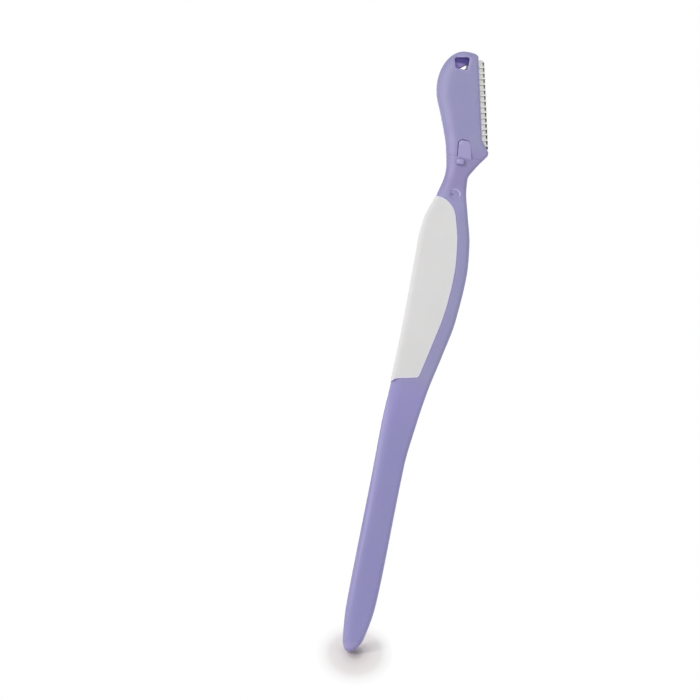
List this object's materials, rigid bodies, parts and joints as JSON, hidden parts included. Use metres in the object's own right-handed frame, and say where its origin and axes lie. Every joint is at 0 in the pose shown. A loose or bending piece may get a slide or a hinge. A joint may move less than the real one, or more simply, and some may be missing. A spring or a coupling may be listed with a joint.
{
  "type": "eyebrow razor",
  "caption": "Slim moulded eyebrow razor with a soft grip, a leaf-shaped two-part head and a guarded blade along one side.",
  "frame": {"origin": "centre of the hanging hole, where it meets the seam between the two halves of the head", "axes": "+Z along the handle with the head up, -Y out of the front of the head, +X towards the blade"},
  "size_m": [0.0167, 0.0047, 0.16],
  "materials": {
    "body_plastic": "satin lavender",
    "soft_grip": "matt white",
    "blade_steel": "ground edge",
    "guard_steel": "bright"
  },
  "bodies": {
    "root": {"handle": "body_plastic", "grip": "soft_grip", "head_cover": "body_plastic", "blade": "blade_steel", "blade_guard": "guard_steel"}
  },
  "joints": []
}
